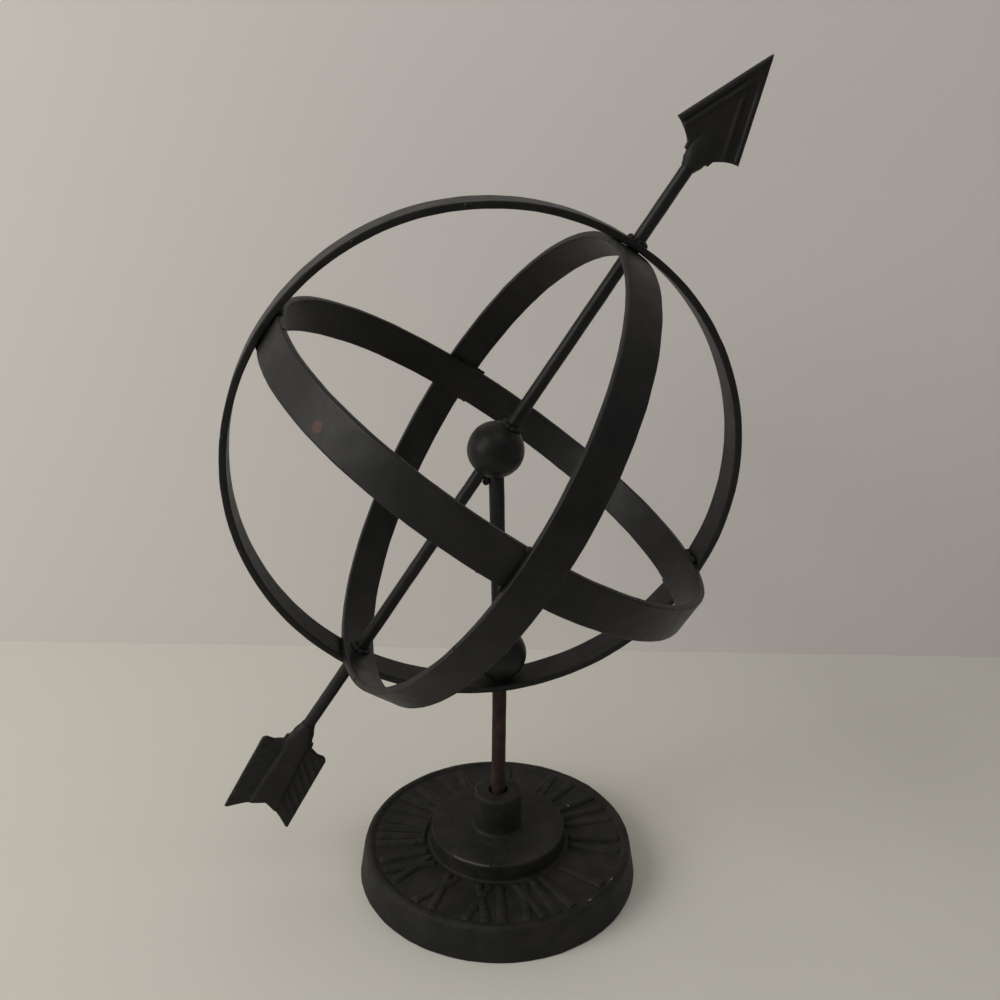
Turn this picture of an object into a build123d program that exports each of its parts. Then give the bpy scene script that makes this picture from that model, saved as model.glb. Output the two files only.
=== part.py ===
from build123d import *
import os
from math import cos, pi, radians, sin, sqrt

# An armillary sphere on a round cast stand: three flat iron bands, an arrow through the poles,
# two balls and the rods that carry them. Millimetres, +Z up, origin on the floor under the post.
# The viewer stands at -Y. The three bands were set by hand, so they are a little out of true.

# Stand
FOOT_D = 121.4
FOOT_DRAFT = 2.6
FOOT_H = 15.0
FOOT_EDGE = 1.3
RIM_W = 2.6
DIAL_SINK = 1.2
STEP_D = 58.6
STEP_H = 6.8
STEP_EDGE = 0.6
BOSS_D = 20.4
BOSS_H = 17.6
BOSS_LIP = 0.9
BOSS_FILLET = 1.2
MOUTH_D = 8.0
MOUTH_DEPTH = 7.0
RECESS_DEPTH = 3.0
RECESS_RIM = 8.0
WELL_D = 19.0
WELL_DEPTH = 7.0
LEDGE_T = 4.5

# Post and its fastening
POST_D = 6.0
POST_FREE = 52.6
STUD_D = 5.0
STUD_HOLE_D = 5.3
WASHER_D = 10.0
WASHER_T = 1.0
NUT_ACROSS = 8.0
NUT_H = 4.0
STUD_END = 1.0
POST_SOCKET = 5.0

# Bands of the sphere
BAND_T = 2.75
BAND_W = 14.0
EQUATOR_W = 15.0
MERIDIAN_R = 99.0
COLURE_BELLY_R = 97.75
LATITUDE = 57.3
LEAN = 3.0
CENTRE_LEFT = 6.9
COLURE_TURN = 2.3
COLURE_ROLL = 0.6
COLURE_SHIFT = 1.2
EQUATOR_TURN = 1.1
EQUATOR_ROLL = 0.7
EQUATOR_SHIFT = 2.4

# Balls, turned in narrow flats, and the rod between them
BALL_D = 22.0
BALL_FLATS = 9
BALL_UP = 6.7
ROD_SOCKET = 5.0
ROD_SEAT = 10.1

# Arrow
SHAFT_D = 5.0
SOCKET_DEPTH = 7.0
SOCKET_WALL = 0.35
SOCKET_SWELL = 0.43
SOCKET_FADE = 0.2
SOCKET_FLATS = 12
HEAD_NECK = 129.3
HEAD_BEND = 3.0
HEAD_L = 46.8
HEAD_HALF_W = 14.4
HEAD_BARB = 11.3
HEAD_HOLLOW = 1.4
HEAD_COLLAR = 6.4
HEAD_COLLAR_FLARE = 2.6
HEAD_COLLAR_RUN = 7.1
HEAD_EDGE_T = 2.2
HEAD_BORDER_T = 3.4
HEAD_GROOVE_T = 2.0
HEAD_RIB_T = 3.8
HEAD_PANEL_T = 2.4
HEAD_BORDER_W = 2.2
HEAD_RIB_LEFT = 6.2
HEAD_RIB_RIGHT = 3.8
HEAD_TIP_R = 1.2
TAIL_NECK = 134.3
TAIL_BEND = 4.2
TAIL_L = 52.6
TAIL_NOTCH = 42.6
TAIL_HALF_W = 14.5
TAIL_SHOULDER = 12.4
TAIL_SHOULDER_R = 2.2
TAIL_TRAIL_BOW = 1.1
TAIL_TIP_R = 1.1
TAIL_COLLAR = 10.8
TAIL_COLLAR_FLARE = 3.4
TAIL_COLLAR_RUN = 9.0
TAIL_WING_T = 2.2
TAIL_SPINE_T = 4.6
TAIL_SPINE_W = 8.0
TAIL_SPINE_FLARE = 3.5
TAIL_SPINE_SIDE = 30.0

# Weld beads
BEAD_R = 1.3
BEAD_OUT = 1.8
BEAD_STAND = 0.3
BEAD_FLATS = 6
CROSSING_BEAD_L = 10.0

# Clearances
FIT = 0.05
RUN = 0.08
PLAY = 0.1
SEAT = 0.05

# Heights up the stand, worked out from the sizes above
dial_z = FOOT_H - DIAL_SINK
step_z = FOOT_H + STEP_H
boss_z = step_z + BOSS_H
well_z = RECESS_DEPTH + WELL_DEPTH
ledge_z = well_z + LEDGE_T
mouth_z = boss_z - MOUTH_DEPTH
washer_z = well_z - PLAY - WASHER_T
nut_z = washer_z - NUT_H
stud_z = nut_z - STUD_END

# The sphere's frame: Z along the poles, X square to it in the outer band's plane, Y away
inner_r = MERIDIAN_R - BAND_T
foot_drop = sqrt(MERIDIAN_R**2 - CENTRE_LEFT**2)
up = Vector(0, -sin(radians(LEAN)), cos(radians(LEAN)))
right = Vector(1, 0, 0)
band_foot = Vector(0, 0, boss_z + POST_FREE)
centre = band_foot - right * CENTRE_LEFT + up * foot_drop
pole = right * cos(radians(LATITUDE)) + up * sin(radians(LATITUDE))
across = right * sin(radians(LATITUDE)) - up * cos(radians(LATITUDE))
sphere_frame = Plane(origin=centre, x_dir=across, z_dir=pole)

# Where each band lies in the sphere's frame
meridian_place = Plane.XZ
colure_place = (
    Pos(-COLURE_SHIFT, 0, 0)
    * Rot(0, 0, COLURE_TURN)
    * Rot(0, -COLURE_ROLL, 0)
    * Plane(origin=(0, 0, 0), x_dir=(0, 1, 0), z_dir=(1, 0, 0)).location
)
equator_place = Pos(0, 0, EQUATOR_SHIFT) * Rot(EQUATOR_TURN, 0, 0) * Rot(0, EQUATOR_ROLL, 0)

# Balls and rods: the lower ball rests in the outer band's round, over the post
corner_r = BALL_D / 2 / cos(pi / BALL_FLATS / 2)
ball_path = inner_r - BALL_D / 2 - SEAT
ball_below = sqrt(ball_path**2 - CENTRE_LEFT**2)
post_to_centre = centre.Y * up.Y
lower_ball_at = Vector(0, 0, centre.Z - (ball_below - post_to_centre) / up.Z)
centre_ball_at = centre + pole * BALL_UP
ball_line = (centre_ball_at - lower_ball_at).normalized()
post_top = lower_ball_at - Vector(0, 0, BALL_D / 2 - POST_SOCKET)
rod_foot = lower_ball_at + ball_line * (BALL_D / 2 - ROD_SOCKET)
rod_top = centre_ball_at - ball_line * ROD_SEAT
shaft_low = centre - pole * (TAIL_NECK + SOCKET_DEPTH - PLAY)
shaft_high = centre + pole * (HEAD_NECK + SOCKET_DEPTH - PLAY)


def seat_in_round(half_w, shift):
    """Half-width of an oval band whose flat back just clears the outer band's round inside."""
    return sqrt(inner_r**2 - (half_w + shift) ** 2) - SEAT


def oval_offset(long_reach, short_reach):
    """How far a four-arc oval's arc centres stand from its middle, with joints at 45 degrees."""
    return (long_reach - short_reach) / (2 - sqrt(2))


# How far each inner band reaches, so that it lies inside the next one
turn_room = BAND_W / 2 * sin(radians(COLURE_TURN))
colure_pole_r = seat_in_round(BAND_W / 2 + turn_room, COLURE_SHIFT)
equator_side_r = seat_in_round(EQUATOR_W / 2 + turn_room, EQUATOR_SHIFT)
belly_offset = oval_offset(COLURE_BELLY_R, colure_pole_r)
belly_inner_r = COLURE_BELLY_R - belly_offset - BAND_T
equator_edge = EQUATOR_W / 2 + EQUATOR_SHIFT + turn_room
equator_belly_r = belly_offset + sqrt(belly_inner_r**2 - equator_edge**2) - SEAT


def rod(start, end, diameter):
    """A round rod between two points."""
    run = end - start
    return Plane(origin=start, z_dir=run) * extrude(Circle(diameter / 2), run.length)


def make_base():
    """The stand's casting: drafted foot, rim, sunk dial, step, boss, bore and the nut's well."""
    foot_r = FOOT_D / 2
    top_r = foot_r - FOOT_DRAFT
    rim_r = top_r - RIM_W
    recess_r = foot_r - RECESS_RIM
    step_r = STEP_D / 2
    boss_r = BOSS_D / 2
    mouth_r = MOUTH_D / 2
    bore_r = POST_D / 2 + RUN
    hole_r = STUD_HOLE_D / 2
    well_r = WELL_D / 2
    outline = [
        (recess_r, 0),
        (foot_r, 0),
        (top_r, FOOT_H),
        (rim_r, FOOT_H),
        (rim_r - DIAL_SINK, dial_z),
        (step_r, dial_z),
        (step_r, step_z),
        (boss_r, step_z),
        (boss_r, boss_z),
        (mouth_r, boss_z),
        (mouth_r, mouth_z),
        (bore_r, mouth_z),
        (bore_r, ledge_z),
        (hole_r, ledge_z),
        (hole_r, well_z),
        (well_r, well_z),
        (well_r, RECESS_DEPTH),
        (recess_r, RECESS_DEPTH),
    ]
    breaks = [
        ((top_r, FOOT_H), FOOT_EDGE),
        ((step_r, step_z), STEP_EDGE),
        ((boss_r, step_z), BOSS_FILLET),
        ((boss_r, boss_z), BOSS_LIP),
    ]
    face = make_face(Polyline(*outline, close=True))
    for corner, size in breaks:
        near = face.vertices().sort_by_distance(Vector(*corner, 0))[0]
        face = chamfer(near, size)
    return revolve(Plane.XZ * face, axis=Axis.Z)


def make_lower_post():
    """The post, with the stud that goes down through the casting."""
    shoulder = Vector(0, 0, ledge_z + SEAT)
    body = rod(shoulder, post_top, POST_D)
    stud = rod(Vector(0, 0, stud_z), shoulder, STUD_D)
    return body + stud


def make_washer():
    """The flat washer under the casting."""
    ring = Circle(WASHER_D / 2) - Circle(STUD_D / 2 + FIT)
    return Pos(0, 0, washer_z) * extrude(ring, WASHER_T)


def make_nut():
    """The hexagon nut on the stud."""
    hexagon = RegularPolygon(NUT_ACROSS / 2, 6, major_radius=False) - Circle(STUD_D / 2 + FIT)
    return Pos(0, 0, nut_z) * extrude(hexagon, NUT_H)


def oval(reach_x, reach_y):
    """A circle, or an oval of four tangent arcs where the two reaches differ."""
    if reach_x == reach_y:
        return Circle(reach_x)
    offset = oval_offset(max(reach_x, reach_y), min(reach_x, reach_y))
    end_r = max(reach_x, reach_y) - offset
    side_r = min(reach_x, reach_y) + offset
    arcs = CenterArc((offset, 0), end_r, -45, 90)
    arcs += CenterArc((0, -offset), side_r, 45, 90)
    arcs += CenterArc((-offset, 0), end_r, 135, 90)
    arcs += CenterArc((0, offset), side_r, 225, 90)
    turn = 0 if reach_x > reach_y else 90
    return Rot(0, 0, turn) * make_face(arcs)


def flat_band(reach_x, reach_y, width, grow):
    """A band bent to an oval about Z."""
    outer_x = reach_x + grow
    outer_y = reach_y + grow
    wall = BAND_T + 2 * grow
    half = width / 2 + grow
    ring = oval(outer_x, outer_y) - oval(outer_x - wall, outer_y - wall)
    return Pos(0, 0, -half) * extrude(ring, 2 * half)


def meridian_band(grow=0.0):
    """The outer band."""
    return sphere_frame * meridian_place * flat_band(MERIDIAN_R, MERIDIAN_R, BAND_W, grow)


def colure_band(grow=0.0):
    """The middle band, through both poles."""
    return sphere_frame * colure_place * flat_band(COLURE_BELLY_R, colure_pole_r, BAND_W, grow)


def equator_band(grow=0.0):
    """The inmost band, square to the arrow."""
    return sphere_frame * equator_place * flat_band(equator_side_r, equator_belly_r, EQUATOR_W, grow)


def pole_drill():
    """The drill that goes through both poles."""
    reach = pole * (2 * MERIDIAN_R)
    return rod(centre - reach, centre + reach, SHAFT_D + 2 * FIT)


def make_meridian_ring():
    """The outer band, drilled at both poles and at its foot."""
    reach = Vector(0, 0, BALL_D)
    return meridian_band() - pole_drill() - rod(band_foot - reach, band_foot + reach, POST_D + 2 * FIT)


def make_colure_ring():
    """The middle band, drilled at both poles."""
    return colure_band() - pole_drill()


def ball(at, axis):
    """A ball turned about an axis, each flat touching the true round at its middle."""
    corners = [pi * (step + 0.5) / BALL_FLATS - pi / 2 for step in range(BALL_FLATS)]
    outline = [(corner_r * cos(a), corner_r * sin(a)) for a in corners]
    low = (0, outline[0][1])
    high = (0, outline[-1][1])
    face = make_face(Polyline(low, *outline, high, close=True))
    return Plane(origin=at, z_dir=axis) * revolve(Plane.XZ * face, axis=Axis.Z)


def make_lower_ball():
    """The ball on the outer band's foot, with a socket above and below."""
    post = rod(band_foot, post_top, POST_D + 2 * FIT)
    upper = rod(rod_foot, centre_ball_at, POST_D + 2 * FIT)
    return ball(lower_ball_at, ball_line) - post - upper


def make_upper_post(grow=0.0):
    """The rod between the two balls."""
    return rod(rod_foot, rod_top, POST_D + 2 * grow)


def make_arrow_shaft(grow=0.0):
    """The arrow's rod, from the tail's socket to the head's."""
    return rod(shaft_low, shaft_high, SHAFT_D + 2 * grow)


def make_centre_ball():
    """The ball on the arrow's rod, spot-faced for the rod that holds it."""
    reach = pole * BALL_D
    bore = rod(centre_ball_at - reach, centre_ball_at + reach, SHAFT_D + 2 * FIT)
    spot = rod(rod_top - ball_line * BALL_D, rod_top, POST_D + 2 * FIT)
    return ball(centre_ball_at, pole) - bore - spot


def cast_socket(collar_at, collar_half, fade_at, fade_half, plate_t):
    """A cast neck: round at its mouth, broad at the collar, run out into the plate."""
    neck_half = SHAFT_D / 2 + SOCKET_WALL
    depth = neck_half + SOCKET_SWELL
    stations = [
        (0, neck_half, neck_half),
        (collar_at / 2, (neck_half + collar_half) / 2, depth),
        (collar_at, collar_half, depth),
        (fade_at, fade_half, plate_t / 2 - SOCKET_FADE),
    ]
    turns = [2 * pi * (step + 0.5) / SOCKET_FLATS for step in range(SOCKET_FLATS)]
    sections = []
    for along, half_w, half_d in stations:
        ring = [(along, half_w * cos(a), half_d * sin(a)) for a in turns]
        sections.append(make_face(Polyline(*ring, close=True)))
    return loft(sections, ruled=True)


def plate_face(half):
    """A face from a half outline that starts and ends on the X axis."""
    return make_face([half, mirror(half, about=Plane.XZ)])


def head_half(outline, rib_in):
    """Half of the arrowhead: border, groove and rib follow the long edge, mitred on the axis."""
    run = Vector(HEAD_L - HEAD_BARB, -HEAD_HALF_W, 0)
    slope = HEAD_BORDER_T - HEAD_GROOVE_T
    rib_rise = HEAD_RIB_T - HEAD_PANEL_T
    crest = [
        (-HEAD_EDGE_T, HEAD_EDGE_T),
        (0, HEAD_EDGE_T),
        (HEAD_BORDER_W / 2, HEAD_BORDER_T),
        (HEAD_BORDER_W, HEAD_GROOVE_T + slope / 2),
        (rib_in - rib_rise, HEAD_GROOVE_T),
        (rib_in, HEAD_RIB_T),
        (rib_in + rib_rise, HEAD_PANEL_T),
        (2 * HEAD_HALF_W, HEAD_PANEL_T),
    ]
    front = [(inset, thick / 2) for inset, thick in crest]
    back = [(inset, -thick / 2) for inset, thick in reversed(crest)]
    inward = Vector(-HEAD_HALF_W, -(HEAD_L - HEAD_BARB), 0).normalized()
    section_plane = Plane(origin=(HEAD_BARB, HEAD_HALF_W, 0), x_dir=inward, z_dir=run)
    section = section_plane * make_face(Polyline(*front, *back, close=True))
    bar = extrude(section, 2 * HEAD_L, both=True)
    keep = Pos(0, HEAD_L, 0) * Box(4 * HEAD_L, 2 * HEAD_L, 2 * HEAD_L)
    return bar & outline & keep


def make_arrowhead():
    """The cast arrowhead with its socket."""
    neck_half = SHAFT_D / 2 + SOCKET_WALL
    collar_half = neck_half + HEAD_COLLAR_FLARE
    start = (HEAD_COLLAR / 2, (neck_half + collar_half) / 2)
    collar = (HEAD_COLLAR, collar_half)
    barb = (HEAD_BARB, HEAD_HALF_W)
    half = Line((start[0], 0), start)
    half += Line(start, collar)
    half += SagittaArc(collar, barb, HEAD_HOLLOW)
    half += Line(barb, (HEAD_L, 0))
    face = plate_face(half)
    tip = face.vertices().sort_by(Axis.X)[-1]
    face = fillet(tip, HEAD_TIP_R)
    outline = extrude(face, HEAD_RIB_T, both=True)
    right_half = head_half(outline, HEAD_RIB_RIGHT)
    left_half = mirror(head_half(outline, HEAD_RIB_LEFT), about=Plane.XZ)
    fade_at = HEAD_COLLAR + HEAD_COLLAR_RUN
    socket = cast_socket(HEAD_COLLAR, collar_half, fade_at, neck_half, HEAD_PANEL_T)
    head = right_half + left_half + socket
    turn = radians(HEAD_BEND)
    place = Plane(origin=(0, 0, HEAD_NECK), x_dir=(sin(turn), 0, cos(turn)), z_dir=(0, 1, 0))
    bore = Pos(0, 0, HEAD_NECK) * extrude(Circle(SHAFT_D / 2 + FIT), SOCKET_DEPTH, both=True)
    return sphere_frame * (place * head - bore)


def make_arrow_tail():
    """The cast swallow tail: socket, broad spine and two wings."""
    neck_half = SHAFT_D / 2 + SOCKET_WALL
    collar_half = neck_half + TAIL_COLLAR_FLARE
    start = (TAIL_COLLAR / 2, (neck_half + collar_half) / 2)
    collar = (TAIL_COLLAR, collar_half)
    shoulder = (TAIL_SHOULDER, TAIL_HALF_W)
    tip = (TAIL_L, TAIL_HALF_W)
    half = Line((start[0], 0), start)
    half += Line(start, collar)
    half += Line(collar, shoulder)
    half += Line(shoulder, tip)
    half += SagittaArc(tip, (TAIL_NOTCH, 0), TAIL_TRAIL_BOW)
    face = plate_face(half)
    for side in (-1, 1):
        for corner, radius in ((shoulder, TAIL_SHOULDER_R), (tip, TAIL_TIP_R)):
            near = face.vertices().sort_by_distance(Vector(corner[0], side * corner[1], 0))[0]
            face = fillet(near, radius)
    wings = extrude(face, TAIL_WING_T / 2, both=True)
    narrow = TAIL_SPINE_W / 2
    wide = narrow + TAIL_SPINE_FLARE / 2
    corners = [(start[0], -narrow), (TAIL_L, -wide), (TAIL_L, wide), (start[0], narrow)]
    spine_face = make_face(Polyline(*corners, close=True))
    spine = extrude(spine_face, TAIL_SPINE_T / 2, taper=TAIL_SPINE_SIDE)
    spine += mirror(spine, about=Plane.XY)
    spine &= extrude(face, TAIL_SPINE_T, both=True)
    fade_at = TAIL_COLLAR + TAIL_COLLAR_RUN
    socket = cast_socket(TAIL_COLLAR, collar_half, fade_at, narrow, TAIL_SPINE_T)
    tail = wings + spine + socket
    turn = radians(TAIL_BEND)
    place = Plane(origin=(0, 0, -TAIL_NECK), x_dir=(sin(turn), 0, -cos(turn)), z_dir=(0, 1, 0))
    bore = Pos(0, 0, -TAIL_NECK) * extrude(Circle(SHAFT_D / 2 + FIT), SOCKET_DEPTH, both=True)
    return sphere_frame * (place * tail - bore)


def bead_section(rod_d):
    """The section of a bead of weld that lies against a rod along Y."""
    rod_r = rod_d / 2 + SEAT / 2
    return make_face(Polyline((rod_r, BEAD_R), (rod_r + BEAD_OUT, 0), (rod_r, -BEAD_R), close=True))


def round_bead(at, direction, section):
    """A bead of weld round a rod."""
    return Plane(origin=at, z_dir=direction) * revolve(Plane.XZ * section, axis=Axis.Z)


def straight_bead(at, direction):
    """A straight run of weld, centred on a point."""
    bead = extrude(RegularPolygon(BEAD_R, BEAD_FLATS), CROSSING_BEAD_L / 2, both=True)
    return Plane(origin=at, z_dir=direction) * bead


def trimmed(bead, *neighbours):
    """A bead cut back to the faces of the pieces it joins, without the specks a cut leaves."""
    for piece in neighbours:
        bead = bead - piece
    return max(bead.solids(), key=lambda solid: solid.volume)


def make_foot_weld():
    """The bead round the post under the outer band."""
    bead = round_bead(band_foot, Vector(0, 0, 1), bead_section(POST_D))
    return trimmed(bead, meridian_band(SEAT / 2))


def make_upper_pole_weld():
    """The bead where the arrow's rod leaves the outer band."""
    bead = round_bead(centre + pole * MERIDIAN_R, pole, bead_section(SHAFT_D))
    return trimmed(bead, meridian_band(SEAT / 2))


def make_lower_pole_weld():
    """The bead where the arrow's rod enters the middle band at the tail end."""
    at = centre - pole * (colure_pole_r - BAND_T)
    bead = round_bead(at, pole, bead_section(SHAFT_D))
    return trimmed(bead, colure_band(SEAT / 2))


def make_side_weld(side):
    """The two beads along the edges of the inmost band where it meets the outer band."""
    beads = []
    for edge in (-1, 1):
        corner = (side * (inner_r - BEAD_STAND), 0, edge * EQUATOR_W / 2)
        at = (sphere_frame * equator_place * Pos(*corner)).position
        bead = straight_bead(at, sphere_frame.y_dir)
        beads.append(trimmed(bead, meridian_band(SEAT / 2), equator_band(SEAT / 2)))
    return Compound(beads)


def make_belly_weld(side):
    """The two beads along the edges of the inmost band where it meets the middle band."""
    beads = []
    for edge in (-1, 1):
        corner = (0, side * (COLURE_BELLY_R - BAND_T - BEAD_STAND), edge * EQUATOR_W / 2)
        at = (sphere_frame * equator_place * Pos(*corner)).position
        bead = straight_bead(at, sphere_frame.x_dir)
        beads.append(trimmed(bead, colure_band(SEAT / 2), equator_band(SEAT / 2)))
    return Compound(beads)


def make_centre_ball_weld():
    """The bead round the arrow's rod on the ball, and the web of weld under the ball."""
    room = Pos(centre_ball_at) * Sphere(corner_r + SEAT / 2)
    bead = round_bead(centre_ball_at + pole * (BALL_D / 2), pole, bead_section(SHAFT_D))
    fork = (centre_ball_at - pole * BALL_D / 2 + rod_top) * 0.5
    web = straight_bead(fork - ball_line * BEAD_R, ball_line)
    web = trimmed(web, room, make_arrow_shaft(SEAT / 2), make_upper_post(SEAT / 2))
    return Compound([trimmed(bead, room), web])


PIECES = {
    "base": make_base(),
    "lower_post": make_lower_post(),
    "post_washer": make_washer(),
    "post_nut": make_nut(),
    "meridian_ring": make_meridian_ring(),
    "colure_ring": make_colure_ring(),
    "equator_ring": equator_band(),
    "lower_ball": make_lower_ball(),
    "upper_post": make_upper_post(),
    "centre_ball": make_centre_ball(),
    "arrow_shaft": make_arrow_shaft(),
    "arrowhead": make_arrowhead(),
    "arrow_tail": make_arrow_tail(),
    "foot_weld": make_foot_weld(),
    "upper_pole_weld": make_upper_pole_weld(),
    "lower_pole_weld": make_lower_pole_weld(),
    "left_crossing_weld": make_side_weld(-1),
    "right_crossing_weld": make_side_weld(1),
    "front_crossing_weld": make_belly_weld(-1),
    "back_crossing_weld": make_belly_weld(1),
    "centre_ball_weld": make_centre_ball_weld(),
}

os.makedirs("parts", exist_ok=True)
for name, piece in PIECES.items():
    export_step(piece, f"parts/{name}.step")
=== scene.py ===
from math import atan2, copysign, cos, pi, radians, sin, sqrt

import bmesh
import bpy
from mathutils import Matrix, Vector, noise


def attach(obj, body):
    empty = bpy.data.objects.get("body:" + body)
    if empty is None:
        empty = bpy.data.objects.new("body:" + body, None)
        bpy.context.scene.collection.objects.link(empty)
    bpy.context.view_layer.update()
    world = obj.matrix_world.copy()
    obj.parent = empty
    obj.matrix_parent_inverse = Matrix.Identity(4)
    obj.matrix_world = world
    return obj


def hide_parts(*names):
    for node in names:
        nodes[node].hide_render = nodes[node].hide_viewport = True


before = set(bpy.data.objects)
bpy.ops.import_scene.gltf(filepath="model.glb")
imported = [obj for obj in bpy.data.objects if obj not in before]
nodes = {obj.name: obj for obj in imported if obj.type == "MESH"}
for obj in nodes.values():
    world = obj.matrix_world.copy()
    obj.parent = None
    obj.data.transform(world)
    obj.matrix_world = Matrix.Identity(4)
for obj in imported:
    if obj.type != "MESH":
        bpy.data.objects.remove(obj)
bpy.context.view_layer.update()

MM = 0.001


# Small helpers for materials

NOISE = "ShaderNodeTexNoise"
RANGE = "ShaderNodeMapRange"
MIX = "ShaderNodeMix"
SMOOTH = {"interpolation_type": "SMOOTHSTEP"}
COLOURS = {"data_type": "RGBA", "out": 2}


def paint_hex(code):
    """An sRGB hex value as a linear colour with alpha."""
    channels = [int(code[i:i + 2], 16) / 255 for i in (1, 3, 5)]
    linear = [c / 12.92 if c <= 0.04045 else ((c + 0.055) / 1.055) ** 2.4 for c in channels]
    return (*linear, 1.0)


def add(tree, kind, inputs, out=0, **settings):
    """Adds a node with its settings and gives one of its outputs. Inputs maps a socket's name or
    number to a constant or to another node's output."""
    node = tree.nodes.new(kind)
    for key, value in settings.items():
        setattr(node, key, value)
    for key, value in inputs.items():
        if isinstance(value, bpy.types.NodeSocket):
            tree.links.new(value, node.inputs[key])
        else:
            node.inputs[key].default_value = value
    return node.outputs[out]


def blotches(where, size_mm, detail=4.0, rough=0.6):
    """What a noise pattern is given, so that its blotches are about size_mm across."""
    return {"Vector": where, "Scale": 1 / (size_mm * MM), "Detail": detail, "Roughness": rough}


def patch(tree, where, centre_mm, radius_mm):
    """A ragged round patch about one point of the part."""
    radius = radius_mm * MM
    centre = [c * MM for c in centre_mm]
    away = add(tree, "ShaderNodeVectorMath", {0: where, 1: centre}, "Value", operation="DISTANCE")
    edge = add(tree, NOISE, blotches(where, radius_mm * 0.7))
    ragged = add(tree, "ShaderNodeMath", {0: edge, 1: radius * 0.9, 2: away}, operation="MULTIPLY_ADD")
    return add(tree, RANGE, {"Value": ragged, "From Min": radius * 1.45, "From Max": radius * 1.1}, **SMOOTH)


def new_material(name):
    """An empty node material: itself, its tree, its shader and the Object coordinates."""
    material = bpy.data.materials.new(name)
    material.use_nodes = True
    tree = material.node_tree
    where = tree.nodes.new("ShaderNodeTexCoord").outputs["Object"]
    return material, tree, tree.nodes["Principled BSDF"], where


def relief(tree, shader, where, layers):
    """Bumps in several sizes, each (size_mm, height_mm, strength)."""
    normal = None
    for size, height, strength in layers:
        bumps = add(tree, NOISE, blotches(where, size, 5.0, 0.65))
        inputs = {"Strength": strength, "Distance": height * MM, "Height": bumps}
        if normal:
            inputs["Normal"] = normal
        normal = add(tree, "ShaderNodeBump", inputs)
    tree.links.new(normal, shader.inputs["Normal"])


# Materials

PAINT_SHINE = 0.25
RUST_SHINE = 0.3


def painted_iron(name, dark, light, dust, dusty, rough, layers, marks=()):
    """Satin black enamel on iron: nearly black, cloudy where it is thin, dusty brown in places,
    with a soft sheen. Marks are small places of another colour, each (point, radius, colour)."""
    material, tree, shader, where = new_material(name)
    clouds = add(tree, NOISE, blotches(where, 11.0, 6.0))
    cloudy = add(tree, RANGE, {"Value": clouds, "From Min": 0.36, "From Max": 0.7}, **SMOOTH)
    colour = add(tree, MIX, {0: cloudy, 6: paint_hex(dark), 7: paint_hex(light)}, **COLOURS)
    film = add(tree, NOISE, blotches(where, 23.0, 5.0, 0.7))
    settled = add(tree, RANGE, {"Value": film, "From Min": 0.45, "From Max": 0.75, "To Max": dusty}, **SMOOTH)
    colour = add(tree, MIX, {0: settled, 6: colour, 7: paint_hex(dust)}, **COLOURS)
    for centre, radius, shade in marks:
        share = patch(tree, where, centre, radius)
        colour = add(tree, MIX, {0: share, 6: colour, 7: paint_hex(shade)}, **COLOURS)
    tree.links.new(colour, shader.inputs["Base Color"])
    wear = add(tree, NOISE, blotches(where, 5.0, 6.0))
    sheen = add(tree, RANGE, {"Value": wear, "To Min": rough[0], "To Max": rough[1]})
    tree.links.new(sheen, shader.inputs["Roughness"])
    shader.inputs["Specular IOR Level"].default_value = PAINT_SHINE
    relief(tree, shader, where, layers)
    return material


def rusty_iron(name):
    """A rod gone brown: thin dark paint with dull red-brown rust coming through it, dry and matt."""
    material, tree, shader, where = new_material(name)
    spread = add(tree, NOISE, blotches(where, 6.0, 7.0))
    blotch = add(tree, RANGE, {"Value": spread, "From Min": 0.38, "From Max": 0.62}, **SMOOTH)
    colour = add(tree, MIX, {0: blotch, 6: paint_hex("#1d1512"), 7: paint_hex("#38221a")}, **COLOURS)
    grains = add(tree, NOISE, blotches(where, 1.2))
    speck = add(tree, RANGE, {"Value": grains, "From Min": 0.62, "From Max": 0.7, "To Max": 0.6}, **SMOOTH)
    colour = add(tree, MIX, {0: speck, 6: colour, 7: paint_hex("#4d2f22")}, **COLOURS)
    tree.links.new(colour, shader.inputs["Base Color"])
    shader.inputs["Roughness"].default_value = 0.72
    shader.inputs["Specular IOR Level"].default_value = RUST_SHINE
    relief(tree, shader, where, [(2.2, 0.2, 0.5), (0.6, 0.1, 0.6)])
    return material


def zinc_plate(name):
    """Dull zinc plate on the nut and washer under the stand: grey metal with faint cloudy spangle."""
    material, tree, shader, where = new_material(name)
    spangle = add(tree, NOISE, blotches(where, 3.0))
    cloud = add(tree, RANGE, {"Value": spangle, "From Min": 0.3, "From Max": 0.7}, **SMOOTH)
    colour = add(tree, MIX, {0: cloud, 6: paint_hex("#8d8f90"), 7: paint_hex("#b4b6b6")}, **COLOURS)
    tree.links.new(colour, shader.inputs["Base Color"])
    shader.inputs["Metallic"].default_value = 1.0
    sheen = add(tree, RANGE, {"Value": cloud, "To Min": 0.36, "To Max": 0.5})
    tree.links.new(sheen, shader.inputs["Roughness"])
    return material


# Brushed paint on smooth rolled bar, with one rust spot on the innermost band
bar_paint = painted_iron("satin_paint_on_flat_bar", "#0e0e0d", "#181817", "#211f1c", 0.5, (0.34, 0.56),
                         [(16.0, 0.5, 0.35), (0.8, 0.06, 0.5)],
                         marks=[((-68.0, -68.5, 225.9), 2.4, "#46291f")])

# Where a paler grey is laid along an arc of the step's edge at the front left, and where small chips of paint
# are gone
PALE_EDGE_ARC = [(29.3 * sin(radians(a)), -29.3 * cos(radians(a)), 21.7) for a in range(-46, -15, 2)]
CHIPS = [(35.3, 17.6, 14.4), (43.3, -34.3, 14.6), (31.7, -45.6, 14.6)]

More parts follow.
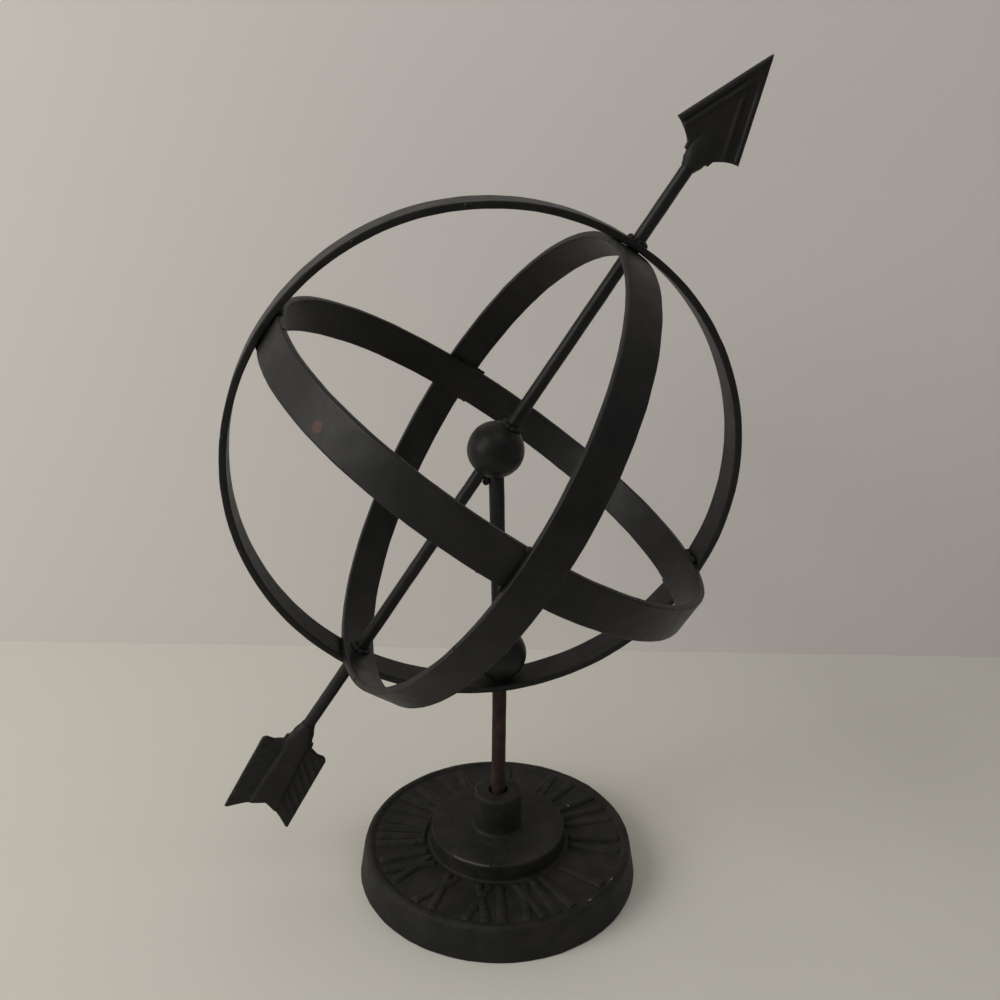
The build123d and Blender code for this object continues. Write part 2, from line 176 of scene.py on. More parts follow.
# Sand leaves grains of about 0.3 mm on a casting; they are drawn coarser here, so that they show
cast_paint = painted_iron("satin_paint_on_sand_casting", "#141412", "#20201c", "#2b2821", 0.7, (0.5, 0.72),
                          [(5.0, 0.4, 0.5), (1.3, 0.45, 1.0)],
                          marks=[(point, 0.8, "#48463f") for point in PALE_EDGE_ARC]
                          + [(point, 0.8, "#7d796d") for point in CHIPS])
arrow_paint = painted_iron("satin_paint_on_cast_arrow", "#11110f", "#1c1b19", "#26231f", 0.5, (0.42, 0.66),
                           [(4.0, 0.3, 0.4), (0.8, 0.1, 0.7)])
rod_paint = painted_iron("satin_paint_on_rod", "#0e0e0d", "#171716", "#201e1b", 0.4, (0.34, 0.52),
                         [(7.0, 0.2, 0.35), (0.7, 0.06, 0.5)])
weld_paint = painted_iron("paint_on_weld", "#0f0e0d", "#191715", "#221e1a", 0.4, (0.4, 0.65),
                          [(1.4, 0.2, 0.6), (0.5, 0.06, 0.6)])
rust_brown = rusty_iron("rust_brown_rod")
zinc = zinc_plate("dull_zinc_plate")


# Small helpers for shapes

def smoothstep(low, high, value):
    """0 below low, 1 above high, smooth between."""
    t = min(max((value - low) / (high - low), 0.0), 1.0)
    return t * t * (3 - 2 * t)


def turned(bm, profile, around, closed):
    """Spins a profile of (radius, height) points in millimetres about Z, and closes an open one's ends."""
    points = [bm.verts.new((radius * MM, 0, height * MM)) for radius, height in profile]
    pairs = list(zip(points, points[1:]))
    if closed:
        pairs.append((points[-1], points[0]))
    edges = [bm.edges.new(pair) for pair in pairs]
    bmesh.ops.spin(bm, geom=points + edges, cent=(0, 0, 0), axis=(0, 0, 1), angle=2 * pi,
                   steps=around, use_merge=True)
    if not closed:
        bmesh.ops.holes_fill(bm, edges=bm.edges)
    bmesh.ops.recalc_face_normals(bm, faces=bm.faces)


def drawn_out(bm, rings):
    """Draws a section out: the first ring of points is a face, which is extruded to each of the next."""
    before = set(bm.faces)
    face = bm.faces.new([bm.verts.new(point) for point in rings[0]])
    for ring in rings[1:]:
        made = bmesh.ops.extrude_face_region(bm, geom=[face])["geom"]
        if ring is not rings[1]:
            bm.faces.remove(face)
        face = next(part for part in made if isinstance(part, bmesh.types.BMFace))
        for vertex, point in zip(face.verts, ring):
            vertex.co = point
    bmesh.ops.recalc_face_normals(bm, faces=[f for f in bm.faces if f not in before])


def roughen(bm, size_mm, height_mm, seed):
    """Moves the surface in and out by smooth noise; a negative height turns its hills to hollows."""
    bm.normal_update()
    shift = Vector((seed, seed * 1.7, -seed))
    moves = [noise.noise(v.co / (size_mm * MM) + shift) * height_mm * MM for v in bm.verts]
    for vertex, move in zip(bm.verts, moves):
        vertex.co += vertex.normal * move


def face_outward(bm):
    """Makes each closed skin of the mesh face outwards, so that it holds a positive volume."""
    bmesh.ops.recalc_face_normals(bm, faces=bm.faces)
    waiting = set(bm.faces)
    while waiting:
        reached = [waiting.pop()]
        for face in reached:
            around = {other for edge in face.edges for other in edge.link_faces} & waiting
            waiting -= around
            reached.extend(around)
        if sum(face.calc_center_median().dot(face.normal) * face.calc_area() for face in reached) < 0:
            bmesh.ops.reverse_faces(bm, faces=reached)


def finish_piece(name, bm, material, body, slot, *replaced, place=None):
    """Turns the mesh into a piece of the part: placed, facing out, on its body, for its CAD nodes."""
    if place:
        bmesh.ops.transform(bm, matrix=place, verts=bm.verts)
    face_outward(bm)
    for face in bm.faces:
        face.smooth = True
    mesh = bpy.data.meshes.new(name)
    bm.to_mesh(mesh)
    bm.free()
    mesh.materials.append(material)
    piece = bpy.data.objects.new(name, mesh)
    bpy.context.scene.collection.objects.link(piece)
    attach(piece, body)
    if replaced:
        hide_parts(*replaced)
    return piece


# The sphere's frame, repeated from the drawing in millimetres

LEAN = radians(3.0)
LATITUDE = radians(57.3)
MERIDIAN_R = 99.0
COLURE_BELLY_R = 97.75
BAND_T = 2.75
BAND_W = 14.0
BAND_FIT = 0.05
EQUATOR_W = 15.0
EQUATOR_SHIFT = 2.4
COLURE_SHIFT = -1.2
COLURE_TURN = radians(2.3)
CENTRE_LEFT = 6.9
FOOT_Z = 92.0
SHAFT_R = 2.5
POST_R = 3.0
BALL_R = 11.0

UP = Vector((0, -sin(LEAN), cos(LEAN)))
RIGHT = Vector((1, 0, 0))
CENTRE = Vector((0, 0, FOOT_Z)) - RIGHT * CENTRE_LEFT + UP * sqrt(MERIDIAN_R**2 - CENTRE_LEFT**2)
POLE = RIGHT * cos(LATITUDE) + UP * sin(LATITUDE)
ACROSS = RIGHT * sin(LATITUDE) - UP * cos(LATITUDE)
AWAY = POLE.cross(ACROSS)


def frame_of(origin, x_dir, y_dir, z_dir):
    """A place from an origin in millimetres and three axes, for points in metres."""
    axes = Matrix((x_dir, y_dir, z_dir)).transposed().to_4x4()
    return Matrix.Translation(origin * MM) @ axes


SPHERE = frame_of(CENTRE, ACROSS, AWAY, POLE)
MERIDIAN = SPHERE @ frame_of(Vector(), Vector((1, 0, 0)), Vector((0, 0, 1)), Vector((0, -1, 0)))
COLURE = (
    SPHERE
    @ Matrix.Translation((COLURE_SHIFT * MM, 0, 0))
    @ Matrix.Rotation(COLURE_TURN, 4, "Z")
    @ Matrix.Rotation(radians(-0.6), 4, "Y")
    @ frame_of(Vector(), Vector((0, 1, 0)), Vector((0, 0, 1)), Vector((1, 0, 0)))
)
EQUATOR = (
    SPHERE
    @ Matrix.Translation((0, 0, EQUATOR_SHIFT * MM))
    @ Matrix.Rotation(radians(1.1), 4, "X")
    @ Matrix.Rotation(radians(0.7), 4, "Y")
)

# How far each inner band reaches, so that it lies inside the next one
TURN_ROOM = BAND_W / 2 * sin(COLURE_TURN)
INNER_R = MERIDIAN_R - BAND_T
COLURE_POLE_R = sqrt(INNER_R**2 - (BAND_W / 2 + TURN_ROOM - COLURE_SHIFT) ** 2) - BAND_FIT
EQUATOR_EDGE = EQUATOR_W / 2 + TURN_ROOM + EQUATOR_SHIFT
EQUATOR_SIDE_R = sqrt(INNER_R**2 - EQUATOR_EDGE**2) - BAND_FIT
BELLY_OFFSET = (COLURE_BELLY_R - COLURE_POLE_R) / (2 - sqrt(2))
BELLY_INNER_R = COLURE_BELLY_R - BELLY_OFFSET - BAND_T
EQUATOR_BELLY_R = BELLY_OFFSET + sqrt(BELLY_INNER_R**2 - EQUATOR_EDGE**2) - BAND_FIT


def oval_point(reach_x, reach_y, angle):
    """The point and outward direction at an angle on an oval of four tangent arcs."""
    out = Vector((cos(angle), sin(angle), 0))
    offset = (reach_x - reach_y) / (2 - sqrt(2))
    if abs(out.x) >= abs(out.y):
        hub = Vector((copysign(1, out.x) * offset, 0, 0))
        radius = reach_x - offset
    else:
        hub = Vector((0, -copysign(1, out.y) * offset, 0))
        radius = reach_y + offset
    return hub + out * radius, out


def bar_section(width):
    """Rolled flat bar's section: (depth from its outer face, height) with softly rounded corners."""
    edge = 0.55
    high = width / 2 - edge
    face = [high * t for t in (-0.93, -0.6, -0.2, 0.2, 0.6, 0.93)]
    corner = [(edge * sin(a), edge * cos(a)) for a in (0, pi / 6, pi / 3, pi / 2)]
    points = [(0.0, z) for z in face]
    points += [(edge - c, high + s) for s, c in corner]
    points += [(BAND_T - edge + s, high + c) for s, c in corner]
    points += [(BAND_T, z) for z in reversed(face)]
    points += [(BAND_T - edge + c, -high - s) for s, c in corner]
    points += [(edge - s, -high - c) for s, c in corner]
    return points


def lump(bm, at, radius, stretch=(1, 1, 1)):
    """A small blob of paint or weld metal, in millimetres."""
    blob = bmesh.ops.create_icosphere(bm, subdivisions=2, radius=radius * MM)
    shape = Matrix.Translation(Vector(at) * MM) @ Matrix.Diagonal((*stretch, 1))
    bmesh.ops.transform(bm, matrix=shape, verts=blob["verts"])


BAND_STEPS = 300


def flat_band(name, reach_x, reach_y, width, place, node, seed, drips):
    """A band bent by hand from flat bar: spun round, bent to its oval and a little wavy, with drips
    of paint on its edges. Drips are (angle in degrees, edge -1 or 1, radius)."""
    bm = bmesh.new()
    turned(bm, [(reach_x - depth, z) for depth, z in bar_section(width)], BAND_STEPS, closed=True)
    for vertex in bm.verts:
        x, y, z = vertex.co / MM
        point, out = oval_point(reach_x, reach_y, atan2(y, x))
        depth = reach_x - sqrt(x * x + y * y)
        waver = noise.noise(Vector((out.x * 2.2, out.y * 2.2, seed))) * 0.25
        ripple = noise.noise(Vector((out.x * 9, out.y * 9, seed + 5))) * 0.12
        vertex.co = (point + out * (waver - depth) + Vector((0, 0, z + ripple))) * MM
    roughen(bm, 7.0, -0.1, seed)
    roughen(bm, 2.0, -0.05, seed + 3)
    for degrees, edge, radius in drips:
        point, out = oval_point(reach_x, reach_y, radians(degrees))
        at = point - out * BAND_T * 0.45 + Vector((0, 0, edge * width / 2))
        lump(bm, at, radius, (1.2, 1.2, 0.7))
    return finish_piece(name, bm, bar_paint, "sphere", "painted_band", node, place=place)


flat_band("outer_band", MERIDIAN_R, MERIDIAN_R, BAND_W, MERIDIAN, "meridian_ring", 3.1,
          [(128, 1, 0.8), (127, 1, 0.6), (152, 1, 0.7), (203, 1, 0.9), (230, 1, 0.7), (352, 1, 0.6),
           (8, -1, 0.8), (28, 1, 0.7), (47, -1, 0.6), (300, 1, 0.6)])
flat_band("middle_band", COLURE_BELLY_R, COLURE_POLE_R, BAND_W, COLURE, "colure_ring", 11.4,
          [(70, 1, 0.6), (201, -1, 0.7), (250, -1, 0.6), (318, 1, 0.6)])
flat_band("inner_band", EQUATOR_SIDE_R, EQUATOR_BELLY_R, EQUATOR_W, EQUATOR, "equator_ring", 23.7,
          [(192, 1, 0.6), (238, 1, 0.7), (262, -1, 0.6), (318, -1, 0.7)])


# Rods and balls

ROD_SIDES = 28
ROD_STEP = 1.6
BROKEN_EDGE = 0.35


def rod(name, start, end, radius, material, slot, node, seed):
    """A round rod between two points in millimetres, with slightly broken ends."""
    bm = bmesh.new()
    run = end - start
    length = run.length
    count = max(int(length / ROD_STEP), 8)
    profile = []
    for i in range(count + 1):
        end_room = min(i / count, 1 - i / count) * length
        profile.append((radius - BROKEN_EDGE * (1 - smoothstep(0, 0.5, end_room)), i / count * length))
    turned(bm, profile, ROD_SIDES, closed=False)
    roughen(bm, 9.0, 0.08, seed)
    roughen(bm, 2.2, 0.05, seed + 2)
    place = Matrix.Translation(start * MM) @ run.to_track_quat("Z", "Y").to_matrix().to_4x4()
    return finish_piece(name, bm, material, "sphere", slot, node, place=place)


def ball(name, at, node, seed):
    """A forged ball, not perfectly round."""
    bm = bmesh.new()
    bmesh.ops.create_icosphere(bm, subdivisions=5, radius=BALL_R * MM)
    roughen(bm, 10.0, 0.16, seed)
    roughen(bm, 2.5, 0.07, seed + 2)
    return finish_piece(name, bm, rod_paint, "sphere", "painted_rod", node, place=Matrix.Translation(at * MM))


LOWER_BALL = Vector((0, 0, 105.9))
CENTRE_BALL = CENTRE + POLE * 6.7
BALL_LINE = (CENTRE_BALL - LOWER_BALL).normalized()
SHAFT_BELOW = 141.2
SHAFT_ABOVE = 136.2
POST_FOOT = Vector((0, 0, 14.55))
rod("arrow_rod", CENTRE - POLE * SHAFT_BELOW, CENTRE + POLE * SHAFT_ABOVE, SHAFT_R, rod_paint, "painted_rod",
    "arrow_shaft", 2.2)
rod("carrying_rod", LOWER_BALL + BALL_LINE * 6, CENTRE_BALL - BALL_LINE * 10.1, POST_R, rod_paint, "painted_rod",
    "upper_post", 6.1)
rod("rusty_post", POST_FOOT, LOWER_BALL - Vector((0, 0, 6)), POST_R, rust_brown, "rusted_rod", "lower_post", 8.3)
ball("low_ball", LOWER_BALL, "lower_ball", 4.4)
ball("middle_ball", CENTRE_BALL, "centre_ball", 7.9)


# The arrow's two castings

PLATE_ROWS = 110
PLATE_COLUMNS = 90


def cast_plate(bm, across, outline, thickness, end_share):
    """A cast plate in the XY plane between two edge curves that run across it: two grids, shaped and
    bridged at their rims. outline(v) gives where it starts and ends at a width v, and
    thickness(u, v, rim) its half thickness, where rim is the distance to the nearest edge.
    end_share is the sine of the end edge's slant."""
    for side in (1, -1):
        grid = bmesh.ops.create_grid(bm, x_segments=PLATE_ROWS, y_segments=PLATE_COLUMNS, size=1)
        for vertex in grid["verts"]:
            share = (vertex.co.x + 1) / 2
            v = across * sin(pi / 2 * vertex.co.y) * 0.998
            start, end = outline(v)
            u = start + (end - start) * (0.35 * (0.5 - 0.5 * cos(pi * share)) + 0.65 * share)
            rim = min((u - start) * 0.85, (end - u) * end_share, across - abs(v))
            vertex.co = Vector((u, v, side * thickness(u, v, rim))) * MM
    bmesh.ops.bridge_loops(bm, edges=[edge for edge in bm.edges if edge.is_boundary])


NECK_SIDES = 32
NECK_STEPS = 8


def cast_neck(bm, stations):
    """A cast neck through (distance, half width, half depth) stations, smoothed between them."""
    rows = []
    for before, after in zip(stations, stations[1:]):
        for i in range(NECK_STEPS):
            ease = smoothstep(0, 1, i / NECK_STEPS)
            along, width, depth = [a + (b - a) * ease for a, b in zip(before, after)]
            along = before[0] + (after[0] - before[0]) * i / NECK_STEPS
            rows.append((along, width, depth))
    rows.append(stations[-1])
    angles = [2 * pi * k / NECK_SIDES for k in range(NECK_SIDES)]
    drawn_out(bm, [[Vector((along, width * cos(a), depth * sin(a))) * MM for a in angles]
                   for along, width, depth in rows])


def rounded_rim(half, rim):
    """Rounds a plate's half thickness down to its edge."""
    radius, edge = 0.9, 0.25
    inside = min(rim / radius, 1.0)
    return edge + (half - edge) * sqrt(max(1 - (1 - inside) ** 2, 0.0))


HEAD_L = 46.8
HEAD_HALF_W = 14.4
HEAD_BARB = 11.3
HEAD_COLLAR = (6.4, 5.45)
HEAD_SLOPE = Vector((-HEAD_HALF_W, -(HEAD_L - HEAD_BARB))).normalized()
HEAD_RIM = 1.75


def head_outline(v):
    """Where the arrowhead starts and ends at a width v: hollow barbs behind, a straight edge to the tip."""
    side = abs(v)
    end = HEAD_L - side * (HEAD_L - HEAD_BARB) / HEAD_HALF_W
    if side < HEAD_COLLAR[1]:
        return 4.6, min(end, HEAD_L - 0.4)
    share = (side - HEAD_COLLAR[1]) / (HEAD_HALF_W - HEAD_COLLAR[1])
    start = HEAD_COLLAR[0] + (HEAD_BARB - HEAD_COLLAR[0]) * share + 3.1 * share * (1 - share)
    return min(start, end - 0.1), end


def head_thickness(u, v, rim):
    """Border, groove and rib along both long edges, a sunk panel between and a smooth tip."""
    in_from_edge = (Vector((u, abs(v))) - Vector((HEAD_BARB, HEAD_HALF_W))).dot(HEAD_SLOPE)
    rib_at = 6.2 if v > 0 else 3.9
    border = HEAD_RIM - 0.75 * smoothstep(1.6, 2.6, in_from_edge)
    rib = 0.85 * (1 - smoothstep(0.0, 1.5, abs(in_from_edge - rib_at)))
    panel = 0.2 * smoothstep(rib_at - 0.4, rib_at + 1.5, in_from_edge)
    tip = smoothstep(HEAD_L - 15.0, HEAD_L - 9.0, u)
    tip_half = HEAD_RIM - 0.5 * smoothstep(HEAD_L - 9, HEAD_L, u)
    half = (border + rib + panel) * (1 - tip) + tip_half * tip
    half += 0.12 * noise.noise(Vector((u * 0.4, v * 0.4, 1.5)))
    return rounded_rim(half, rim)


TAIL_L = 52.6
TAIL_NOTCH = 42.6
TAIL_HALF_W = 14.5
TAIL_COLLAR = (10.8, 6.25)
TAIL_SHOULDER = 12.4
SHOULDER_R = 2.4


def tail_outline(v):
    """Where the tail starts and ends at a width v: round shoulders, and wings swept past the notch."""
    side = abs(v)
    share = side / TAIL_HALF_W
    end = TAIL_NOTCH + (TAIL_L - TAIL_NOTCH) * share - 4.6 * share * (1 - share)
    end -= 1.1 * smoothstep(TAIL_HALF_W - 1.4, TAIL_HALF_W, side)
    if side < TAIL_COLLAR[1]:
        return 8.0, end
    span = (side - TAIL_COLLAR[1]) / (TAIL_HALF_W - TAIL_COLLAR[1])
    start = TAIL_COLLAR[0] + (TAIL_SHOULDER - TAIL_COLLAR[0]) * smoothstep(0, 0.5, span)
    round_in = max(side - (TAIL_HALF_W - SHOULDER_R), 0.0)
    start += SHOULDER_R - sqrt(max(SHOULDER_R**2 - round_in**2, 0.0))
    return start, end


def tail_thickness(u, v, rim):
    """Two thin wings with slanting feather barbs, and a broad raised spine between them."""
    side = abs(v)
    spine_half = 4.4 + 1.6 * smoothstep(8, TAIL_NOTCH, u)
    spine = 1.25 * (1 - smoothstep(spine_half - 0.9, spine_half + 0.5, side))
    crown = 0.25 * (1 - (side / spine_half) ** 2) if side < spine_half else 0.0
    barb_pitch, barb_slant = 5.2, 1.15
    barb = 0.3 * max(sin(2 * pi * (u - side * barb_slant) / barb_pitch), -0.35)
    barb *= smoothstep(spine_half, spine_half + 1.2, side)
    barb *= smoothstep(13, 17, u) * (1 - smoothstep(TAIL_NOTCH - 1, TAIL_NOTCH + 5, u))
    half = 1.15 + spine + crown + barb
    half += 0.12 * noise.noise(Vector((u * 0.4, v * 0.4, 9.5)))
    return rounded_rim(half, rim)


def casting_place(side, neck, bend):
    """The frame of a casting on the arrow's rod: X along the arrow, Z away from the viewer."""
    turn = radians(bend)
    along = Vector((sin(turn), 0, side * cos(turn)))
    z_dir = Vector((0, 1, 0))
    return SPHERE @ frame_of(Vector((0, 0, side * neck)), along, z_dir.cross(along), z_dir)


NECK_R = 2.85
bm = bmesh.new()
cast_plate(bm, HEAD_HALF_W, head_outline, head_thickness, 0.376)
cast_neck(bm, [(0, NECK_R, NECK_R), (3.2, 4.15, 3.0), (6.4, 5.35, 2.7), (19.0, 3.6, 0.8)])
roughen(bm, 2.4, 0.06, 5.5)
finish_piece("cast_arrowhead", bm, arrow_paint, "sphere", "painted_casting", "arrowhead",
             place=casting_place(1, 129.3, 3.0))

bm = bmesh.new()
cast_plate(bm, TAIL_HALF_W, tail_outline, tail_thickness, 0.82)
cast_neck(bm, [(0, NECK_R, NECK_R), (5.4, 4.5, 3.1), (10.8, 6.2, 2.9), (25.0, 4.2, 1.9)])
roughen(bm, 2.4, 0.06, 8.5)
finish_piece("cast_tail", bm, arrow_paint, "sphere", "painted_casting", "arrow_tail",
             place=casting_place(-1, 134.3, 4.2))


# Welds: short runs of overlapping blobs

def weld(name, runs, node, seed):
    """Beads of weld. Each run is (points, blob radius)."""
    bm = bmesh.new()
    for points, radius in runs:
        for i, at in enumerate(points):
            lump(bm, at, radius * (1 + 0.22 * noise.noise(Vector((i * 0.9, seed, radius)))))
    roughen(bm, 1.5, 0.25, seed)
    return finish_piece(name, bm, weld_paint, "sphere", "painted_weld", node)


def on_ring(centre, axis, radius, count):
    """Points round an axis, in millimetres."""
    x_dir = axis.orthogonal().normalized()
    y_dir = axis.cross(x_dir)
    angles = [2 * pi * i / count for i in range(count)]
    return [centre + (x_dir * cos(a) + y_dir * sin(a)) * radius for a in angles]


def on_line(middle, direction, length, count):
    """Points along a line, in millimetres."""
    return [middle + direction * length * (i / (count - 1) - 0.5) for i in range(count)]


def crossing_weld(name, reach_x, reach_y, along, blob, node, seed):
    """Two beads where the innermost band crosses another, one on each of its edges."""
    runs = []
    for edge in (-1, 1):
        middle = EQUATOR @ (Vector((reach_x, reach_y, edge * (EQUATOR_W / 2 + 0.1))) * MM) / MM
        runs.append((on_line(middle, along, 9.0, 9), blob))
    weld(name, runs, node, seed)


POLE_WELD_R = SHAFT_R + 0.5
SIDE_REACH = INNER_R - 1.6
BELLY_REACH = COLURE_BELLY_R - BAND_T - 0.7
weld("post_weld", [(on_ring(Vector((0, 0, FOOT_Z - 0.3)), Vector((0, 0, 1)), POST_R + 0.4, 12), 1.1)],
     "foot_weld", 1.3)
weld("top_pole_weld", [(on_ring(CENTRE + POLE * (MERIDIAN_R + 0.2), POLE, POLE_WELD_R, 11), 1.3)],
     "upper_pole_weld", 2.3)
weld("low_pole_weld", [(on_ring(CENTRE - POLE * (COLURE_POLE_R - BAND_T - 0.2), POLE, POLE_WELD_R, 11), 1.3)],
     "lower_pole_weld", 3.3)
crossing_weld("left_weld", -SIDE_REACH, 0, AWAY, 1.05, "left_crossing_weld", 3.3)
crossing_weld("right_weld", SIDE_REACH, 0, AWAY, 1.05, "right_crossing_weld", 5.3)
crossing_weld("front_weld", 0, -BELLY_REACH, ACROSS, 1.0, "front_crossing_weld", 6.3)
crossing_weld("back_weld", 0, BELLY_REACH, ACROSS, 1.0, "back_crossing_weld", 8.3)
FORK_DIR = (POLE + BALL_LINE).normalized()
weld("ball_weld", [(on_ring(CENTRE_BALL + POLE * (BALL_R - 0.4), POLE, POLE_WELD_R, 11), 1.3),
                   (on_line(CENTRE_BALL - FORK_DIR * (BALL_R + 0.6), FORK_DIR, 4.0, 4), 1.5)],
     "centre_ball_weld", 9.3)


# The stand's casting and its ring of numerals

FOOT_R = 60.7
FOOT_TOP_R = 58.1
FOOT_H = 15.0
RECESS_R = 52.7
RECESS_Z = 3.0
RIM_R = 55.5
DIAL_R = 54.2
DIAL_Z = 13.8
STEP_R = 29.3
STEP_Z = 21.8
BOSS_R = 10.2
BOSS_Z = 39.4
MOUTH_R = 3.9
MOUTH_Z = 32.4
BORE_R = 3.1
SHOULDER_Z = 14.5
STUD_HOLE_R = 2.65
WELL_R = 9.5
WELL_Z = 10.0
STAND_SIDES = 240


def rounded_path(corners, spacing=1.5):
    """A path through (r, z, radius) corners, rounded at each and divided finely between."""
    path = []
    for k, (x, y, radius) in enumerate(corners):
        at = Vector((x, y))
        arc = [at]
        if radius:
            start = at - (at - Vector(corners[k - 1][:2])).normalized() * radius
            end = at + (Vector(corners[(k + 1) % len(corners)][:2]) - at).normalized() * radius
            shares = [i / 5 for i in range(6)]
            arc = [start * (1 - t) ** 2 + at * 2 * t * (1 - t) + end * t**2 for t in shares]
        if path:
            gap = arc[0] - path[-1]
            parts = int(gap.length / spacing) + 1
            path += [path[-1] + gap * i / parts for i in range(1, parts)]
        path += arc
    return path


bm = bmesh.new()
turned(bm, rounded_path([
    (RECESS_R, 0, 0.4), (FOOT_R, 0, 0.7), (FOOT_TOP_R, FOOT_H, 1.9), (RIM_R, FOOT_H, 0.7),
    (DIAL_R, DIAL_Z, 0.6), (STEP_R + 0.2, DIAL_Z, 1.0), (STEP_R, STEP_Z, 0.9), (BOSS_R + 0.1, STEP_Z, 1.7),
    (BOSS_R, BOSS_Z, 1.3), (MOUTH_R + 0.1, BOSS_Z, 0.7), (MOUTH_R, MOUTH_Z, 0), (BORE_R, MOUTH_Z, 0),
    (BORE_R, SHOULDER_Z, 0), (STUD_HOLE_R, SHOULDER_Z, 0), (STUD_HOLE_R, WELL_Z, 0), (WELL_R, WELL_Z, 0),
    (WELL_R, RECESS_Z, 0.4), (RECESS_R, RECESS_Z, 0.4),
]), STAND_SIDES, closed=True)
roughen(bm, 9.0, -0.14, 3.5)
roughen(bm, 2.6, -0.12, 6.5)
for vertex in bm.verts:
    vertex.co.z = max(vertex.co.z, 0.0)
finish_piece("stand_casting", bm, cast_paint, "stand", "painted_casting", "base")


def polar(angle, radius, height):
    """A point on the dial: angle from the front, growing to the right as seen by the viewer."""
    return Vector((radius * sin(angle), -radius * cos(angle), height))


STROKE_IN_R = 31.4
STROKE_OUT_R = 53.9
STROKE_RISE = 0.95
STROKE_SUNK = 0.35
STROKE_STEPS = 24


def stroke(bm, angle_in, angle_out, width_in, width_out):
    """One raised stroke of a numeral, from the step out to the rim, soft edged and a little uneven."""
    start = polar(angle_in, STROKE_IN_R, 0)
    run = polar(angle_out, STROKE_OUT_R, 0) - start
    side = Vector((-run.y, run.x, 0)).normalized()
    foot = DIAL_Z - STROKE_SUNK
    rings = []
    for i in range(STROKE_STEPS + 1):
        t = i / STROKE_STEPS
        middle = start + run * t
        half = (width_in + (width_out - width_in) * t) / 2 * (1 + 0.25 * noise.noise(middle * 0.35))
        fade = smoothstep(-0.2, 1.0, min(t, 1 - t) * run.length)
        uneven = 1 + 0.2 * noise.noise(middle * 0.5 + Vector((7, 0, 0)))
        top = DIAL_Z + STROKE_RISE * fade * uneven
        toe = DIAL_Z + 0.25 * fade
        section = [(-half - 0.5, foot), (-half - 0.15, toe), (-half + 0.35, top - 0.15), (0, top + 0.05),
                   (half - 0.35, top - 0.15), (half + 0.15, toe), (half + 0.5, foot)]
        rings.append([(middle + side * x + Vector((0, 0, z))) * MM for x, z in section])
    drawn_out(bm, rings)


NUMERALS = ["XII", "I", "II", "III", "IV", "V", "VI", "VII", "VIII", "IX", "X", "XI"]
NUMERAL_PITCH = 30
WIDEST_NUMERAL = 28.5
TWELVE_AT = 17.0
# Each letter's width on the dial in degrees, and its strokes: (lean inside, lean outside, widths)
LETTER_SPAN = {"I": 9.5, "V": 12.5, "X": 14.0}
LETTER_STROKES = {
    "I": [(0, 0, 2.8, 4.2)],
    "V": [(-1, 0, 2.6, 3.4), (1, 0, 2.6, 3.4)],
    "X": [(-1, 1, 2.6, 3.6), (1, -1, 2.6, 3.6)],
}
bm = bmesh.new()
for place, numeral in enumerate(NUMERALS):
    span = sum(LETTER_SPAN[letter] for letter in numeral)
    squeeze = min(1.0, WIDEST_NUMERAL / span)
    cursor = TWELVE_AT + NUMERAL_PITCH * place - span * squeeze / 2
    for letter in numeral:
        width = LETTER_SPAN[letter] * squeeze
        middle = radians(cursor + width / 2)
        lean = radians(width * 0.34)
        for lean_in, lean_out, width_in, width_out in LETTER_STROKES[letter]:
            stroke(bm, middle + lean * lean_in, middle + lean * lean_out, width_in, width_out)
        cursor += width
roughen(bm, 1.8, -0.16, 2.5)
finish_piece("dial_numerals", bm, cast_paint, "stand", "painted_casting")

for name in ("post_nut", "post_washer"):
    nodes[name].data.materials.clear()
    nodes[name].data.materials.append(zinc)


# Floor, backdrop, light and camera

def backdrop(name, corners, code):
    """A plain flat sheet through four points in metres, clear from behind."""
    mesh = bpy.data.meshes.new(name)
    mesh.from_pydata(corners, [], [(0, 1, 2, 3)])
    sheet = bpy.data.objects.new(name, mesh)
    bpy.context.scene.collection.objects.link(sheet)
    material, tree, shader, where = new_material(name + "_paint")
    shader.inputs["Base Color"].default_value = paint_hex(code)
    shader.inputs["Roughness"].default_value = 0.85
    shader.inputs["Specular IOR Level"].default_value = 0.2
    hidden = add(tree, "ShaderNodeNewGeometry", {}, "Backfacing")
    clear = add(tree, "ShaderNodeBsdfTransparent", {})
    mixed = add(tree, "ShaderNodeMixShader", {0: hidden, 1: shader.outputs[0], 2: clear})
    tree.links.new(mixed, tree.nodes["Material Output"].inputs["Surface"])
    mesh.materials.append(material)


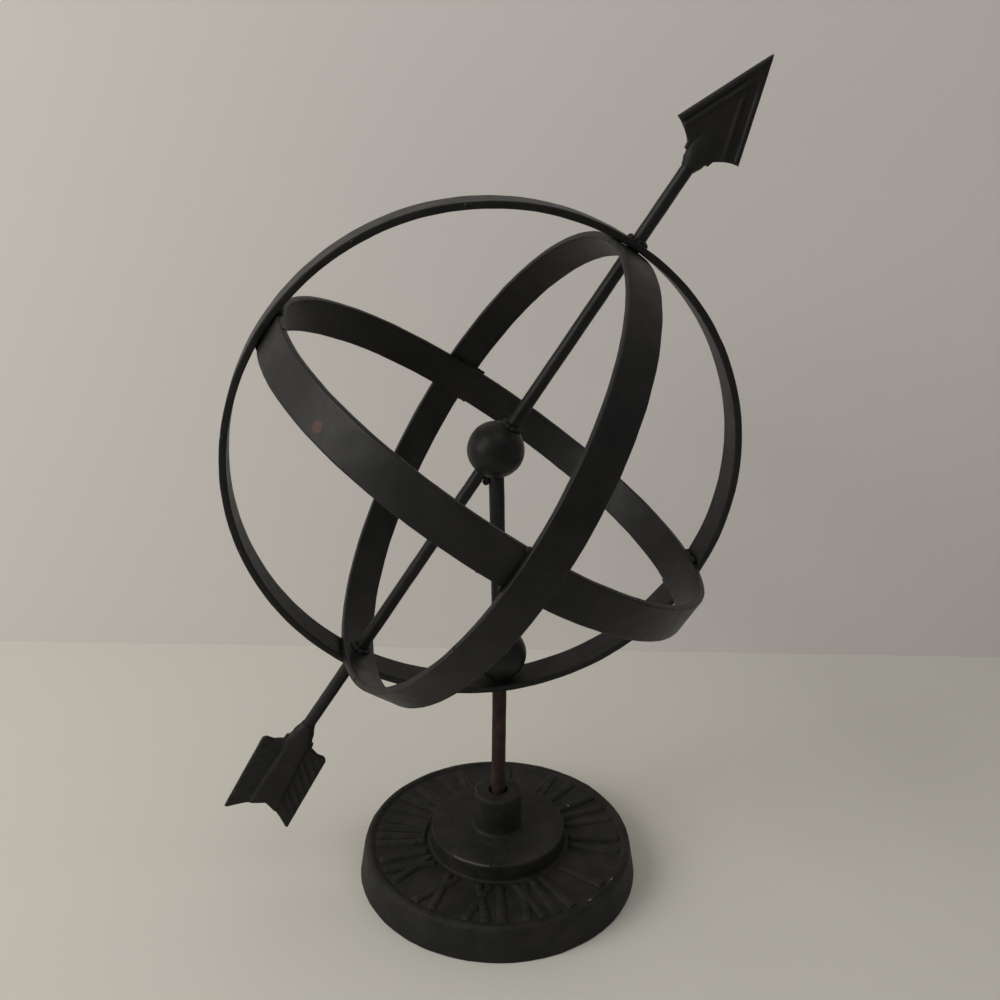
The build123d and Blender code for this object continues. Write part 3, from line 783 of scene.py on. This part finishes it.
SHEET_REACH = 3
WALL_FOOT = Vector((0.028, 0.199, 0))
WALL_RUN = Vector((0.988, -0.154, 0)).normalized()
WALL_OUT = Vector((WALL_RUN.y, -WALL_RUN.x, 0))
left = WALL_FOOT - WALL_RUN * SHEET_REACH
right = WALL_FOOT + WALL_RUN * SHEET_REACH
rise = Vector((0, 0, SHEET_REACH))
backdrop("pale_floor", [left + WALL_OUT * 4, right + WALL_OUT * 4, right, left], "#d3d1c8")
backdrop("pale_wall", [left, right, right + rise, left + rise], "#dad6d2")

world = bpy.data.worlds.new("studio")
bpy.context.scene.world = world
world.use_nodes = True
sky = world.node_tree.nodes["Background"]
sky.inputs["Color"].default_value = paint_hex("#d6d6d6")
sky.inputs["Strength"].default_value = 0.42


def soft_lamp(name, at, aim, size, power):
    """A soft square lamp that faces a point."""
    data = bpy.data.lights.new(name, "AREA")
    data.size = size
    data.energy = power
    data.color = paint_hex("#fffcf8")[:3]
    lamp = bpy.data.objects.new(name, data)
    facing = (Vector(aim) - Vector(at)).to_track_quat("-Z", "Y").to_matrix().to_4x4()
    lamp.matrix_world = Matrix.Translation(at) @ facing
    bpy.context.scene.collection.objects.link(lamp)


soft_lamp("high_left", (-1.2, -0.35, 0.85), (0, 0.05, 0.15), 0.9, 11.5)
soft_lamp("overhead", (0.2, -0.2, 1.6), (0, 0.05, 0.1), 1.2, 3.5)

# The camera stands where the photograph was taken from, with its slight roll
CAMERA_AT = Vector((-0.0589, -0.3986, 0.3238))
CAMERA_AIM = Vector((-0.00068, 0.0, 0.17362))
CAMERA_ROLL = radians(0.66)
FOCAL_PX = 1094.6
FRAME_PX = 1000.0
camera_data = bpy.data.cameras.new("camera")
camera_data.sensor_width = 36.0
camera_data.lens = camera_data.sensor_width * FOCAL_PX / FRAME_PX
camera_data.clip_start = 0.01
camera = bpy.data.objects.new("camera", camera_data)
back = (CAMERA_AT - CAMERA_AIM).normalized()
level = Vector((0, 0, 1)).cross(back).normalized()
upright = back.cross(level)
x_axis = level * cos(CAMERA_ROLL) + upright * sin(CAMERA_ROLL)
y_axis = upright * cos(CAMERA_ROLL) - level * sin(CAMERA_ROLL)
facing = Matrix((x_axis, y_axis, back)).transposed().to_4x4()
camera.matrix_world = Matrix.Translation(CAMERA_AT) @ facing
bpy.context.scene.collection.objects.link(camera)
bpy.context.scene.camera = camera
bpy.context.scene.view_settings.view_transform = "Standard"

bpy.context.view_layer.update()
